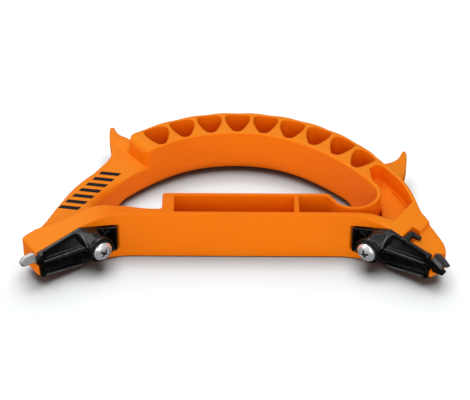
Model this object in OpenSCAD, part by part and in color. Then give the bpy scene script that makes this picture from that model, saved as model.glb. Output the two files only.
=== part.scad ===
// Bow-handled two-tip hand tool.
// A straight beam carries a curved hand grip behind it and a forward-angled
// wing at each end. A ribbed arm with a steel tip is screwed to each wing.
// +X runs along the beam, +Y towards the grip, +Z up. The origin is the
// centre of the beam's underside.

/* [Beam and wings] */
// Overall height of the moulding
body_h = 26.4; // [25:0.2:28]
// Half length of the straight front face, to the bend
bend_x = 61.8; // [61:0.2:63]
// Angle of each wing forward of the beam
wing_angle = 35.3; // [34:0.1:37]
// Length of each wing from the bend to its end face
wing_len = 36.2; // [35:0.2:37]
// Drop of each wing's top face at its end
wing_top_drop = 6.5; // [5:0.5:7]
// Rise of each wing's bottom face at its end
wing_bottom_rise = 5.4; // [4:0.2:6]
// Radius of the blend between the beam's front face and a wing
bend_r = 40.8; // [38:0.2:42]

/* [Bow grip] */
// Inner radius of the bow
grip_r_in = 64; // [63.5:0.5:64.5]
// Outer radius of the bow
grip_r_out = 81.5; // [81:0.1:82]
// Radius that rounds the grip's inner lower edge for the fingers
palm_r = 11; // [9:0.5:11.5]
// Radius of the loop that closes each end of the hand opening
loop_r = 11; // [10.8:0.1:11.2]
// Height of the low tops of both struts
strut_h = 16.4; // [15:0.2:17]

/* [Core cells] */
// Number of open cells along the grip
cell_n = 9; // [7:1:9]
// Angle of the first cell from the centre line
cell_first = -34.3; // [-34.6:0.1:-34]
// Angle between cells
cell_pitch = 11.6; // [11.5:0.1:11.7]
// Height of the cells' floors
cell_floor = 9.5; // [9:0.5:14]
// Wall left behind the cells
cell_wall = 1.3; // [1:0.1:1.6]

/* [Compartments] */
// Height of the compartment floors
tray_floor = 2.6; // [2:0.2:5]
// Thickness of the compartments' front wall
tray_wall = 2.2; // [2:0.1:2.6]

/* [Screws] */
// Thread diameter of the arm screws
screw_d = 5; // [4.8:0.1:5.2]
// Pan head diameter
head_d = 9.9; // [9.4:0.1:10]
// Outer diameter of the threaded inserts
insert_d = 6.6; // [6.4:0.1:7]
// Radial clearance of the shank
screw_gap = 0.06; // [0.04:0.01:0.08]

/* [Arms and tips] */
// Height of the boss face above the wing
boss_h = 8.8; // [8.4:0.1:9]
// Boss diameter
boss_d = 12; // [11.6:0.1:12.4]
// How far the blade stands out of the wing's end
blade_out = 8.2; // [7.8:0.1:8.6]
// How far the fork stands out of the wing's end
fork_out = 8.5; // [8:0.1:8.8]

/* [Hidden] */
$fn = 72;

beam_mid = 8.5;          // beam centre line, behind the front face
bow_c = [0, 1.5];        // centre of the bow
arm_gap = 0.1;           // gap between an arm's back and the wing
boss_u = 7.1;            // boss position along the wing
mid_z = 13.2;            // height of the screw and fork axes
blade_z = 14.7;          // height of the blade's axis
tip_gap = 0.15;          // gap round a tip's shank in the wing's groove
blade_w = [-4, -2];      // rear and front face of the blade, from the wing's face
fork_w = [-3.7, -1.1];   // rear and front face of the fork
slope_top = wing_top_drop/wing_len;
slope_bot = wing_bottom_rise/wing_len;
flare_k = 34.4;          // how much larger the flared ends' radius is
flare_r = grip_r_in + flare_k;
flare_c = [-flare_k*sin(30), bow_c[1] - flare_k*cos(30)];
loop_c = [57, 17.9];     // centre of the right loop
flare_a = atan2(loop_c[1] - flare_c[1], loop_c[0] - flare_c[0]);
bend_t = bend_r*tan(wing_angle/2);

orange = [0.94, 0.47, 0.06];
black = [0.10, 0.11, 0.115];

function arc(c, r, a0, a1, n) =
    [for (i = [0:n]) [c[0] + r*cos(a0 + (a1 - a0)*i/n), c[1] + r*sin(a0 + (a1 - a0)*i/n)]];
function flip(p) = [for (i = [len(p)-1:-1:0]) [-p[i][0], p[i][1]]];
// point on a wing: u along it from the bend, w rearwards from its front face
function wing_pt(u, w) = [bend_x + u*cos(wing_angle) + w*sin(wing_angle),
                          -u*sin(wing_angle) + w*cos(wing_angle)];

module in_frame() { translate([0, -beam_mid, 0]) children(); }
// right wing coordinates: x along the wing, y up, z forwards out of its face
module on_wing() { translate([bend_x, 0, 0]) rotate([0, 0, -wing_angle]) rotate([90, 0, 0]) children(); }
module left() { mirror([1, 0, 0]) children(); }

// ---- outline of the moulding in plan ----
bend_arc = arc([bend_x - bend_t, -bend_r], bend_r, 90, 90 - wing_angle, 8);
right_side = concat(bend_arc,
    [wing_pt(wing_len + 0.8, 0), wing_pt(wing_len + 2.3, 3.9), wing_pt(wing_len + 2.9, 7), [98.5, -14.8],
     [97.9, -12.8], [97.1, -10.8], [95.9, -8.4], [94.7, -6], [93.4, -3.5], [92.4, -1], [91.2, 1.4],
     [89.9, 3.9], [88.9, 6.4], [88.1, 9], [87.4, 11.6], [86.7, 14.2], [86, 16.9], [85.1, 19.5],
     [84.1, 22.1], [82.7, 25], [80.9, 28.3], [77.4, 34.6], [73.5, 40.3]]);
// the left strut is a little wider than the right one
left_side = concat(bend_arc,
    [wing_pt(wing_len + 0.2, 0), wing_pt(wing_len + 1, 12.6), wing_pt(wing_len + 0.4, 13.9),
     wing_pt(30.5, 14.3), [94.1, -3.6], [93.5, -0.4], [92.2, 2.8], [90.6, 5.9], [89.3, 8.9], [88.2, 12],
     [86.9, 15.1], [85.6, 18.3], [84.2, 21.4], [82.9, 24.6], [81.5, 27.8], [79.8, 31], [78.1, 34.2],
     [75.9, 37.4], [73.6, 40.7], [70.6, 44.2]]);
blank = concat(right_side, arc(bow_c, grip_r_out, 34.5, 145.5, 56), flip(left_side));

// ---- hand opening: a bow, two flatter flanks and a round loop at each end ----
module sector(c, r, a0, a1) {
    intersection() {
        translate(c) circle(r = r, $fn = 180);
        polygon([c, [c[0] + 2*r*cos(a0), c[1] + 2*r*sin(a0)],
                 [c[0] + 2*r*cos((a0 + a1)/2), c[1] + 2*r*sin((a0 + a1)/2)],
                 [c[0] + 2*r*cos(a1), c[1] + 2*r*sin(a1)]]);
    }
}
// everything above the beam, the compartments and the two loops
above = [[-57, 6.9], [-52, 6.7], [-45, 5.4], [-40, 4.8], [-35.6, 4.8], [-34.6, 5.8], [-34.6, 16], [-33.6, 17],
         [43, 17], [44.6, 16.7], [45.8, 15.8], [49.2, 10.1], loop_c, [97, 42.8], [97, 100], [-97, 100],
         [-97, 42.8], [-57, 17.9]];
module hand() {
    intersection() {
        union() {
            sector(bow_c, grip_r_in, 60, 120);
            sector(flare_c, flare_r, flare_a, 60);
            mirror([1, 0]) sector(flare_c, flare_r, flare_a, 60);
        }
        polygon(above);
    }
    polygon([[-57, 6.9], [-52, 6.7], [-45, 5.4], [-40, 4.8], [-35.6, 4.8], [-34.6, 5.8], [-34.6, 17],
             [-20, 40], [-57, 17.9]]);
    for (s = [0, 1]) mirror([s, 0]) translate(loop_c) circle(r = loop_r);
}

// ---- hand stops standing out behind the struts ----
left_stop = [[68.6, 45.6], [66.2, 50.6], [64.2, 54.5], [62.8, 58.5], [62.4, 62], [62.8, 67], [63.5, 72], [63.9, 77],
             [64.1, 80.6], [63.6, 81.5], [62.5, 81.3], [60.8, 78], [58.2, 75], [54.8, 72.6], [51.4, 69.6], [48, 64],
             [56, 52]];
right_stop = [[78.4, 29], [80.4, 34], [82, 39.6], [83.5, 45], [84.4, 50], [85.1, 55.5], [85.3, 60.6], [84.9, 61.9],
              [83.8, 62], [82.7, 60.2], [81.2, 57.2], [79.3, 54.7], [77.2, 53.4], [74.6, 52.4], [70.5, 51],
              [65.5, 49], [60, 46], [70, 36]];
module hand_stop(p) {
    translate([0, 0, 9]) linear_extrude(8.5) polygon(p);
}

// ---- one core cell: tip towards the palm, x along its axis ----
cell = [[-0.1, -1.1], [0.7, -2.2], [2.3, -3.2], [5.5, -4.8], [8.5, -5.9], [11, -6.2], [13, -6], [14.2, -5],
        [14.7, -3.4], [14.7, 3.4], [14.2, 5], [13, 6], [11, 6.2], [8.5, 5.9], [5.5, 4.8], [2.3, 3.2],
        [0.7, 2.2], [-0.1, 1.1]];
function cell_r(t) = t < 25 ? 65.6 : 65.6 + (t - 25)*0.09;
module cells() {
    for (k = [0:cell_n-1]) {
        t = cell_first + k*cell_pitch;
        translate([0, 0, cell_floor]) linear_extrude(body_h) intersection() {
            translate([bow_c[0] + cell_r(t)*sin(t), bow_c[1] + cell_r(t)*cos(t)])
                rotate(90 - 0.55*t) polygon(cell);
            translate(bow_c) circle(r = grip_r_out - cell_wall, $fn = 180);
        }
    }
}

// ---- solids taken away ----
module palm_round() {
    // rounds the inner lower edge of the bow under the fingers
    prof = concat([[-2, -1], [-2, palm_r]],
                  [for (i = [0:8]) [palm_r*(1 - cos(i*90/8)), palm_r*(1 - sin(i*90/8))]], [[palm_r, -1]]);
    translate([bow_c[0], bow_c[1], 0]) rotate([0, 0, 24]) rotate_extrude(angle = 132, $fn = 180)
        polygon([for (p = prof) [grip_r_in + p[0], p[1]]]);
}
module wing_trim() {
    // sloping top and bottom faces of a wing
    on_wing() translate([0, 0, -30]) linear_extrude(40) {
        polygon([[0, body_h], [60, body_h - slope_top*60], [60, body_h + 5], [0, body_h + 5]]);
        polygon([[0, 0], [60, slope_bot*60], [60, -5], [0, -5]]);
    }
}
// low top of the left strut, behind the raised rim
low_top = [[44.3, 49.4], [62.5, 71.5], [112, 71.5], [112, -12], wing_pt(wing_len + 1, 15), wing_pt(30, 14.6),
           wing_pt(25, 13.2), wing_pt(19, 11.6), wing_pt(13, 10.2), wing_pt(8.2, 9.8), wing_pt(3.5, 9.1), [66, 6.8], [61, 7.5],
           [50, 20], [40, 44.2]];
module left_low_top() {
    left() translate([0, 0, strut_h]) linear_extrude(20) polygon(low_top);
}
// open corner pocket of the right strut
pocket = concat([[75.2, -1.3], [84.2, 11.6], [83.6, 14.2], [83, 17], [81.6, 20.9], [79.6, 24.9], [77.4, 29.2],
                 [74.6, 33.9], [70.4, 40.6], [64.6, 35.8]],
                arc([57, 17.9], loop_r + 2, 42, -4, 5), [[70.2, -0.3]]);
module right_pocket() {
    translate([0, 0, strut_h]) linear_extrude(20) polygon(pocket);
    // groove beside the step rib of the pocket floor
    translate([0, 0, strut_h - 1]) linear_extrude(20)
        polygon([[73.6, 38], [72.2, 36.6], [76.4, 30], [79.2, 23.6], [82, 17.6], [83.2, 16], [82, 19.8],
                 [79.8, 24.6], [77.4, 29.2], [74.6, 33.9]]);
}
module tray_left() {
    translate([-28.7, tray_wall, tray_floor]) cube([56.9, 12.4, body_h]);
}
// second compartment, which runs round the loop into the corner
tray2 = concat([[30.7, tray_wall], [58.7, 2.1], [66, 1.2], [70.7, -0.1], [70.7, 16.9]],
               arc([57, 17.9], loop_r + 2, -4, -135, 18), [[44.6, 13.6], [43.4, 14.6], [30.7, 14.6]]);
module tray_right() {
    translate([0, 0, tray_floor]) linear_extrude(body_h) polygon(tray2);
}

// ---- right arm plate outline: u along the wing, height ----
plate = [[-5.8, 6.1], [0, 4.6], [9, 3.1], [13, 3.0], [35.9, 6.6], [36.6, 19.1], [13.6, 23.1], [10, 22.4],
         [0, 20.5], [-5.8, 19.2]];
recess = [[-6.1, 5.8], [0, 4.3], [9, 2.8], [13.4, 2.7], [13.4, 23.6], [10, 22.8], [0, 20.8], [-6.1, 19.5]];
module arm_recess() {
    on_wing() translate([0, 0, -0.05]) linear_extrude(14) polygon(recess);
}
module insert_hole() {
    on_wing() translate([boss_u, mid_z, -6.2]) cylinder(d = insert_d, h = 7);
}
// round boss that backs the right insert inside the corner well
module insert_boss() {
    on_wing() translate([boss_u, mid_z, -7.6]) cylinder(d = insert_d + 2.4, h = 6);
}
// slot across the right wing for the arm's hook, and the lowered outer block
module hook_slot() {
    on_wing() translate([20.4, 15.6, -9.6]) cube([4.4, 20, 20]);
    on_wing() translate([0, 0, -30]) linear_extrude(40)
        polygon([[24.7, body_h - slope_top*24.7 - 1.8], [60, body_h - slope_top*60 - 1.8], [60, 40], [24.7, 40]]);
}
// seat for the fork's head in the right wing's end
module head_seat() {
    on_wing() translate([wing_len + 0.2, 8, fork_w[0] - tip_gap]) cube([20, 20, 12]);
}
// groove in a wing's face for a tip's shank, open at the wing's end
module tip_groove(z, w) {
    on_wing() translate([26.5, z - 2.55 - tip_gap, w[0] - tip_gap]) cube([20, 5.1 + 2*tip_gap, 12]);
}
module bow_frame() color(orange) in_frame() difference() {
    union() {
        difference() {
            union() {
                linear_extrude(body_h) polygon(blank);
                left() hand_stop(left_stop);
                hand_stop(right_stop);
            }
            right_pocket();
            tray_right();
        }
        insert_boss();
    }
    translate([0, 0, -1]) linear_extrude(body_h + 2) hand();
    palm_round();
    wing_trim();
    left() wing_trim();
    left_low_top();
    tray_left();
    cells();
    arm_recess();
    left() arm_recess();
    insert_hole();
    left() insert_hole();
    hook_slot();
    head_seat();
    left() tip_groove(blade_z, blade_w);
    tip_groove(mid_z, fork_w);
}

// ---- threaded inserts in the wings ----
module insert() {
    on_wing() translate([boss_u, mid_z, -6]) difference() {
        cylinder(d = insert_d, h = 5.95);
        translate([0, 0, -1]) cylinder(r = screw_d/2 + screw_gap, h = 12);
    }
}
module left_insert() color([0.78, 0.62, 0.3]) in_frame() left() insert();
module right_insert() color([0.78, 0.62, 0.3]) in_frame() insert();

// ---- arms ----
// key behind an arm's tip, which presses the steel tip into its groove
module tip_key(z, w) {
    on_wing() translate([27, z - 2.55, w[1] + 0.05]) cube([9.8, 5.1, 0.2 - w[1]]);
}
// an upright profile, u against the height off the wing's face, run across the arm
module side_on(p) {
    translate([0, 30, 0]) rotate([90, 0, 0]) linear_extrude(30) polygon(p);
}
rim_side = [[-6, 0.05], [-6, 5.8], [-3, 4.6], [0, 3.5], [4, 2.4], [8, 1.75], [13, 1.45], [40, 1.45], [40, 0.05]];
wedge_side = [[8, 0.05], [8, 6.6], [12.5, 4.9], [36.2, 1.5], [36.2, 0.05]];
wedge_end = [[12, 0.05], [12, 4.9], [15.2, 4.9], [23.8, 1.4], [23.8, 0.05]];
module arm_body() {
    on_wing() {
        difference() {
            union() {
                // back plate
                translate([0, 0, arm_gap]) linear_extrude(1) polygon(plate);
                // low rim, which follows the front of the moulding
                intersection() {
                    translate([0, 0, arm_gap]) linear_extrude(6) difference() {
                        polygon(plate);
                        polygon([[-4.6, 7.2], [0, 5.9], [9, 4.4], [13, 4.3], [34.6, 7.7], [35.0, 17.9],
                                 [13.4, 21.8], [10, 21.2], [0, 19.3], [-4.6, 18.1]]);
                    }
                    side_on(rim_side);
                }
                // screw boss with a collar
                translate([boss_u, mid_z, arm_gap]) cylinder(d = boss_d, h = boss_h - arm_gap);
                translate([boss_u, mid_z, boss_h - 1.8]) cylinder(d = boss_d + 1, h = 1.8);
                // wedge from the boss to the tip: a sloping panel over a ridge
                intersection() {
                    translate([0, 0, arm_gap]) linear_extrude(8) polygon(plate);
                    side_on(wedge_side);
                    translate([7, 0, 0]) rotate([90, 0, 90]) linear_extrude(29.2) polygon(wedge_end);
                    translate([13, 13.7, 0]) rotate([0, 0, 4.9]) translate([-10, 0, 0]) cube([50, 12, 10]);
                }
                // end flange over the tip
                intersection() {
                    translate([34.6, 0, arm_gap]) cube([3, 30, 2.8]);
                    translate([0, 0, arm_gap]) linear_extrude(8) polygon(plate);
                }
                // ribs from the boss to the inner corners
                for (a = [152, 208])
                    intersection() {
                        translate([boss_u, mid_z, arm_gap]) rotate([0, 0, a]) translate([0, -0.6, 0])
                            cube([13, 1.2, 5]);
                        side_on(rim_side);
                    }
                // ramp above the boss
                intersection() {
                    translate([boss_u, mid_z, arm_gap]) rotate([0, 0, 60]) translate([0, -2.4, 0])
                        rotate([90, 0, 0]) mirror([0, 0, 1]) linear_extrude(4.8)
                            polygon([[0, 0], [0, 7.6], [5, 7.6], [12, 2], [12, 0]]);
                    translate([0, 0, arm_gap]) linear_extrude(12) polygon(plate);
                }
            }
            translate([boss_u, mid_z, -1]) cylinder(r = screw_d/2 + screw_gap, h = 20);
        }
    }
}
module left_arm() color(black) in_frame() left() {
    arm_body();
    tip_key(blade_z, blade_w);
}
module right_arm() color(black) in_frame() union() {
    arm_body();
    tip_key(mid_z, fork_w);
    // hook that drops into the wing's slot and bears on the outer block
    on_wing() {
        translate([21.3, 20.4, -4.6]) cube([2.6, 2.6, 8.6]);
        translate([21.3, 20.4, -6.2]) cube([2.6, 2.6, 2]);
        translate([21.3, 20.4, -6.2]) cube([6.2, 1.9, 2]);
    }
}

// ---- steel tips ----
module left_blade() color([0.75, 0.75, 0.76]) in_frame() left() on_wing()
    intersection() {
        translate([27, blade_z - 2.55, blade_w[0]]) cube([30, 5.1, blade_w[1] - blade_w[0]]);
        // ground end: undercut towards a blunt edge
        translate([0, blade_z - 5, 0]) rotate([90, 0, 0]) mirror([0, 0, 1]) linear_extrude(10)
            polygon([[20, -6], [wing_len + blade_out - 0.8, -6], [wing_len + blade_out, -2.4],
                     [wing_len + blade_out, 0], [20, 0]]);
        translate([0, 0, -8]) linear_extrude(10) polygon([[20, 8], [wing_len + blade_out - 2.2, 8],
            [wing_len + blade_out - 2, 12.1], [wing_len + blade_out - 0.5, 13.4], [wing_len + blade_out, 14.6],
            [wing_len + blade_out - 0.4, 15.8], [wing_len + blade_out - 2.2, 17.3], [20, 18]]);
    }
// fork: stem held in the wing, head with two prongs and a V notch
fork_end = wing_len + fork_out;
fork_shape = [[27, 10.65], [wing_len + 0.3, 10.65], [wing_len + 0.5, 9], [38.6, 8.3], [40.8, 8.4], [fork_end - 2.3, 9],
              [fork_end - 0.6, 11.8], [fork_end - 3.1, 14.1], [fork_end - 0.2, 14.2], [fork_end, 14.5],
              [38.4, 18.8], [37.2, 18.2], [wing_len + 0.4, 17], [wing_len + 0.3, 15.75], [27, 15.75]];
module right_fork() color([0.3, 0.3, 0.31]) in_frame() on_wing()
    translate([0, 0, fork_w[0]]) linear_extrude(fork_w[1] - fork_w[0]) polygon(fork_shape);

// ---- washers and screws ----
washer_t = 0.7;
module washer() {
    on_wing() translate([boss_u, mid_z, boss_h]) difference() {
        cylinder(d = head_d + 1.1, h = washer_t);
        translate([0, 0, -1]) cylinder(r = screw_d/2 + screw_gap, h = 3);
    }
}
module left_washer() color([0.13, 0.13, 0.14]) in_frame() left() washer();
module right_washer() color([0.13, 0.13, 0.14]) in_frame() washer();

module screw() {
    on_wing() translate([boss_u, mid_z, boss_h + washer_t]) difference() {
        union() {
            translate([0, 0, -15.2]) cylinder(d = screw_d, h = 15.3);
            translate([0, 0, 0]) cylinder(d = head_d, h = 1.4);
            // domed crown
            intersection() {
                translate([0, 0, 3.1 - 7.4]) sphere(r = 7.4);
                translate([0, 0, 1.2]) cylinder(d = head_d, h = 3);
            }
        }
        // cross recess
        for (a = [45, 135]) translate([0, 0, 1.3]) rotate([0, 0, a]) translate([-2.7, -0.6, 0]) cube([5.4, 1.2, 3]);
        translate([0, 0, 1.0]) cylinder(d = 2.2, h = 3);
    }
}
module left_screw() color([0.8, 0.8, 0.81]) in_frame() left() screw();
module right_screw() color([0.8, 0.8, 0.81]) in_frame() screw();

bow_frame();
left_insert();
right_insert();
left_arm();
right_arm();
left_blade();
right_fork();
left_washer();
right_washer();
left_screw();
right_screw();
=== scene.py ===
"""Looks of the bow-handled two-tip hand tool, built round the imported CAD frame.

Shapes below are written in millimetres in the part's own plan: X along the beam,
Y from the beam's front face towards the grip, Z up from the underside. u, w are
wing coordinates: u along a wing from its bend, w forwards out of its face.
"""
import math

import bpy
import numpy as np
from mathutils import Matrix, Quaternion, Vector

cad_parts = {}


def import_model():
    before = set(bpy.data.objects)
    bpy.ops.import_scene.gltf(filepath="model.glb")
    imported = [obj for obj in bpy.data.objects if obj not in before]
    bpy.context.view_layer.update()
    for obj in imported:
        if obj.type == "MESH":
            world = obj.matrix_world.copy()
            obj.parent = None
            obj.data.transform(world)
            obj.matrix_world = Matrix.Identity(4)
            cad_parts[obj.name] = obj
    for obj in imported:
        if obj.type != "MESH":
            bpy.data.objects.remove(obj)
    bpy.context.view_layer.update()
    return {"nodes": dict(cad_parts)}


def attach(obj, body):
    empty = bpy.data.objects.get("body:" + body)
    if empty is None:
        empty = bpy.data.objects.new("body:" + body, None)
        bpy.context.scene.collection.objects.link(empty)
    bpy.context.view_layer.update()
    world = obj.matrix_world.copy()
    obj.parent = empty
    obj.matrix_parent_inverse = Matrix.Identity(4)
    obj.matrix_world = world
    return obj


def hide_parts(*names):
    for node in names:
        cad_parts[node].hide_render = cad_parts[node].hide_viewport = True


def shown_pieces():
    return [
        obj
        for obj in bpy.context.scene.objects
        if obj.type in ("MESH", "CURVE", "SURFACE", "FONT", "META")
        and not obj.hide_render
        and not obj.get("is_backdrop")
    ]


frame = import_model()
F32 = np.float32

# ---------------------------------------------------------------- dimensions
BEAM_MID = 8.5
BODY_H = 26.4
BEND_X = 61.8
WING_A = math.radians(35.3)
CW, SW = math.cos(WING_A), math.sin(WING_A)
WING_LEN = 36.2
SLOPE_TOP = 6.5 / WING_LEN
SLOPE_BOT = 5.4 / WING_LEN
BEND_R = 40.8
BOW_C = (0.0, 1.5)
R_IN, R_OUT = 64.0, 81.5
LOOP_C, LOOP_R = (57.0, 17.9), 11.0
FLARE_K = 34.4
FLARE_R = R_IN + FLARE_K
FLARE_C = (-FLARE_K * math.sin(math.radians(30)), BOW_C[1] - FLARE_K * math.cos(math.radians(30)))
FLARE_A = math.degrees(math.atan2(LOOP_C[1] - FLARE_C[1], LOOP_C[0] - FLARE_C[0]))
STRUT_H = 16.4
BOSS_U, BOSS_Z = 7.1, 13.2
BLADE_Z = 14.7


# ---------------------------------------------------------------- distance fields
def arc(c, r, a0, a1, n):
    t = np.radians(np.linspace(a0, a1, n + 1))
    return [(c[0] + r * math.cos(a), c[1] + r * math.sin(a)) for a in t]


def flip(p):
    return [(-a, b) for a, b in reversed(p)]


def wing_pt(u, w):
    """A plan point on the right wing, w rearwards from its face."""
    return (BEND_X + u * CW + w * SW, -u * SW + w * CW)


def chaikin(p, passes=2):
    """Rounds an open polyline and keeps its ends."""
    p = [np.array(q, float) for q in p]
    for _ in range(passes):
        out = [p[0]]
        for a, b in zip(p[:-1], p[1:]):
            out += [0.75 * a + 0.25 * b, 0.25 * a + 0.75 * b]
        out.append(p[-1])
        p = out
    return [tuple(q) for q in p]


def poly(px, py, pts):
    """Signed distance to a closed outline, negative inside."""
    px, py = np.broadcast_arrays(px, py)
    d = np.full(px.shape, 1e9, F32)
    outside = np.ones(px.shape, bool)
    pts = [(float(a), float(b)) for a, b in pts]
    j = len(pts) - 1
    for i in range(len(pts)):
        ax, ay = pts[i]
        bx, by = pts[j]
        j = i
        ex, ey = bx - ax, by - ay
        ll = ex * ex + ey * ey
        if ll < 1e-10:
            continue
        wx, wy = px - ax, py - ay
        t = np.clip((wx * ex + wy * ey) / ll, 0, 1)
        d = np.minimum(d, (wx - ex * t) ** 2 + (wy - ey * t) ** 2)
        c1, c2, c3 = py >= ay, py < by, ex * wy > ey * wx
        outside ^= (c1 & c2 & c3) | (~c1 & ~c2 & ~c3)
    return (np.sqrt(d) * np.where(outside, 1, -1)).astype(F32)


def rmax(a, b, r):
    """Both: a rounded intersection."""
    return np.minimum(-r, np.maximum(a, b)) + np.hypot(np.maximum(r + a, 0), np.maximum(r + b, 0))


def rmin(a, b, r):
    """Either: a union with a fillet."""
    return np.maximum(r, np.minimum(a, b)) - np.hypot(np.maximum(r - a, 0), np.maximum(r - b, 0))


def ramp(x, a, b):
    """0 at a, 1 at b, smooth."""
    t = np.clip((x - a) / (b - a), 0, 1)
    return t * t * (3 - 2 * t)


def softpos(x, k):
    """max(x, 0) with a soft corner."""
    return 0.5 * (x + np.sqrt(x * x + k * k))


# ---------------------------------------------------------------- surface of a field
def net(field, h):
    """Surface nets over a field sampled on a grid of pitch h: (vertices in grid units, quads)."""
    s = field < 0
    nx, ny, nz = s.shape
    c = np.zeros((nx - 1, ny - 1, nz - 1), np.uint8)
    for dx in (0, 1):
        for dy in (0, 1):
            for dz in (0, 1):
                c += s[dx:nx - 1 + dx, dy:ny - 1 + dy, dz:nz - 1 + dz]
    active = (c > 0) & (c < 8)
    idx = np.full(active.shape, -1, np.int32)
    cells = np.argwhere(active)
    idx[active] = np.arange(len(cells), dtype=np.int32)
    corner = np.array([(a, b, d) for a in (0, 1) for b in (0, 1) for d in (0, 1)])
    val = np.stack([field[cells[:, 0] + a, cells[:, 1] + b, cells[:, 2] + d] for a, b, d in corner], 1).astype(float)
    total = np.zeros((len(cells), 3))
    count = np.zeros(len(cells))
    for i in range(8):
        for axis, bit in ((0, 4), (1, 2), (2, 1)):
            if i & bit:
                continue
            a, b = val[:, i], val[:, i | bit]
            cross = (a < 0) != (b < 0)
            t = np.where(cross, a / np.where(cross, a - b, 1), 0)
            p = np.repeat(corner[i][None].astype(float), len(cells), 0)
            p[:, axis] += t
            total += p * cross[:, None]
            count += cross
    verts = cells + total / count[:, None]
    quads = []
    for axis in range(3):
        a = [slice(None)] * 3
        b = [slice(None)] * 3
        a[axis], b[axis] = slice(0, -1), slice(1, None)
        sa, sb = s[tuple(a)], s[tuple(b)]
        e = np.argwhere(sa != sb)
        o1, o2 = [(1, 2), (2, 0), (0, 1)][axis]
        keep = (e[:, o1] > 0) & (e[:, o2] > 0) & (e[:, o1] < s.shape[o1] - 1) & (e[:, o2] < s.shape[o2] - 1)
        e = e[keep]
        inside = sa[e[:, 0], e[:, 1], e[:, 2]]

        def at(d1, d2):
            q = e.copy()
            q[:, o1] -= d1
            q[:, o2] -= d2
            return idx[q[:, 0], q[:, 1], q[:, 2]]

        q = np.stack([at(1, 1), at(0, 1), at(0, 0), at(1, 0)], 1)
        q[~inside] = q[~inside][:, ::-1]
        quads.append(q)
    return verts, np.concatenate(quads)


def sample(field, p):
    """Trilinear value of a grid field at points in grid units."""
    top = np.array(field.shape) - 1.001
    p = np.clip(p, 0, top)
    i = p.astype(int)
    f = p - i
    out = 0
    for a in (0, 1):
        for b in (0, 1):
            for c in (0, 1):
                k = (f[:, 0] if a else 1 - f[:, 0]) * (f[:, 1] if b else 1 - f[:, 1]) * (f[:, 2] if c else 1 - f[:, 2])
                out = out + k * field[i[:, 0] + a, i[:, 1] + b, i[:, 2] + c]
    return out


def gradient(field, p, d=0.6):
    g = np.stack([sample(field, p + np.eye(3)[k] * d) - sample(field, p - np.eye(3)[k] * d) for k in range(3)], 1)
    return g / np.maximum(np.linalg.norm(g, axis=1, keepdims=True), 1e-9)


def raw_mesh(name, verts, faces):
    m = bpy.data.meshes.new(name)
    n, k = faces.shape
    m.vertices.add(len(verts))
    m.vertices.foreach_set("co", np.ascontiguousarray(verts, F32).ravel())
    m.loops.add(n * k)
    m.loops.foreach_set("vertex_index", np.ascontiguousarray(faces, np.int32).ravel())
    m.polygons.add(n)
    m.polygons.foreach_set("loop_start", np.arange(0, n * k, k, dtype=np.int32))
    m.update(calc_edges=True)
    m.validate()
    return m


def solid_mesh(name, field, lo, h, place, most, mirrored=False):
    """A mesh of the field's surface. place maps (n, 3) millimetres to the row frame's metres and directions."""
    verts, quads = net(field, h)
    if mirrored:
        quads = quads[:, ::-1]
    world, turn = place
    m = raw_mesh(name, world(verts * h + lo), quads)
    tris = 2 * len(quads)
    o = bpy.data.objects.new(name, m)
    bpy.context.scene.collection.objects.link(o)
    if tris > most:
        mod = o.modifiers.new("reduce", "DECIMATE")
        mod.ratio = most / tris
        dg = bpy.context.evaluated_depsgraph_get()
        dg.update()
        done = bpy.data.meshes.new_from_object(o.evaluated_get(dg))
        o.modifiers.clear()
        o.data = done
        bpy.data.meshes.remove(m)
        done.name = name
        m = done
    # normals come from the field, flat faces keep their own
    co = np.zeros(len(m.vertices) * 3, F32)
    m.vertices.foreach_get("co", co)
    co = co.reshape(-1, 3).astype(float)
    back = world_inverse(world)
    g = (back(co) - lo) / h
    nv = gradient(field, g)
    lv = np.zeros(len(m.loops), np.int32)
    m.loops.foreach_get("vertex_index", lv)
    nl = nv[lv]
    start = np.zeros(len(m.polygons), np.int32)
    size = np.zeros(len(m.polygons), np.int32)
    area = np.zeros(len(m.polygons), F32)
    m.polygons.foreach_get("loop_start", start)
    m.polygons.foreach_get("loop_total", size)
    m.polygons.foreach_get("area", area)
    face = np.repeat(np.arange(len(start)), size)
    centre = np.zeros((len(start), 3))
    np.add.at(centre, face, g[lv])
    centre /= size[:, None]
    nc = gradient(field, centre)
    flat = (area * 1e6) > 2.5 * h * h
    near = np.ones(len(start))
    mid = gradient(field, 0.55 * centre[face] + 0.45 * g[lv])
    np.minimum.at(near, face, (mid * nc[face]).sum(1))
    flat &= near > math.cos(math.radians(0.35))
    use = flat[face] & ((nl * nc[face]).sum(1) > math.cos(math.radians(40)))
    nl = np.where(use[:, None], nc[face], nl)
    nl = turn(nl)
    m.polygons.foreach_set("use_smooth", np.ones(len(start), bool))
    m.normals_split_custom_set([tuple(v) for v in nl.astype(F32)])
    m.update()
    return o


def second_finish(o, place, test):
    """Faces whose middle passes test(u, z, w, normal along w) take the object's second material."""
    m = o.data
    n = len(m.polygons)
    mid, nor = np.zeros(n * 3, F32), np.zeros(n * 3, F32)
    m.polygons.foreach_get("center", mid)
    m.polygons.foreach_get("normal", nor)
    q = place[0].inverse(mid.reshape(-1, 3).astype(float))
    along = nor.reshape(-1, 3) @ np.array(place[1](np.array([[0.0, 0.0, 1.0]]))[0])
    m.polygons.foreach_set("material_index", test(q[:, 0], q[:, 1], q[:, 2], along).astype(np.int32))
    m.update()


def plan_place():
    def world(p):
        return np.stack([p[:, 0], p[:, 1] - BEAM_MID, p[:, 2]], 1) * 0.001

    world.inverse = lambda q: np.stack([q[:, 0] * 1000, q[:, 1] * 1000 + BEAM_MID, q[:, 2] * 1000], 1)
    return world, lambda n: n


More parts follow.
